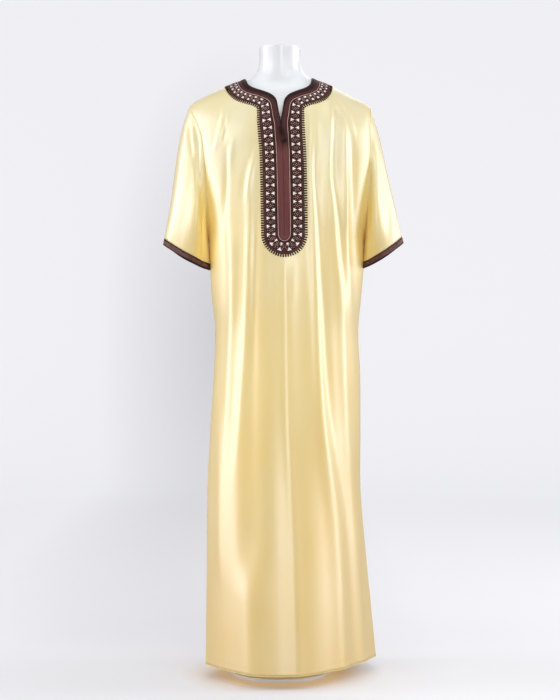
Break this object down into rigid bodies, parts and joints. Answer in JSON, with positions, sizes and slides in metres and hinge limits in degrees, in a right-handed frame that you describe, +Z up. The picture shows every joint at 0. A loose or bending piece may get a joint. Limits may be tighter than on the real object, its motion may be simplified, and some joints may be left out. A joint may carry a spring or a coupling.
{
  "type": "gandoura on a dress form",
  "caption": "Long straight satin gandoura with short wide sleeves and an embroidered U-ended neck placket, hanging on a white limbless dress form with a pole and a round base.",
  "frame": {"origin": "centre of the round base's underside, on the floor", "axes": "+Z up the pole to the neck, -Y the wearer's front, +X to the viewer's right when seen from the front"},
  "size_m": [0.5896, 0.4042, 1.532],
  "materials": {
    "satin": "pale yellow polyester satin with a soft sheen",
    "braid": "dark brown flat braid and binding",
    "embroidery": "brown corded embroidery with cream motifs",
    "form": "white gloss shell",
    "pole": "brushed steel tube",
    "base": "white painted steel disc"
  },
  "bodies": {
    "root": {"front_panel": "satin", "back_panel": "satin", "sleeve_left": "satin", "sleeve_right": "satin", "cuff_left": "braid", "cuff_right": "braid", "neck_braid": "braid", "neck_border": "embroidery", "knot_loop": "braid", "knot": "braid", "form_torso": "form", "stand_pole": "pole", "stand_base": "base"}
  },
  "joints": []
}
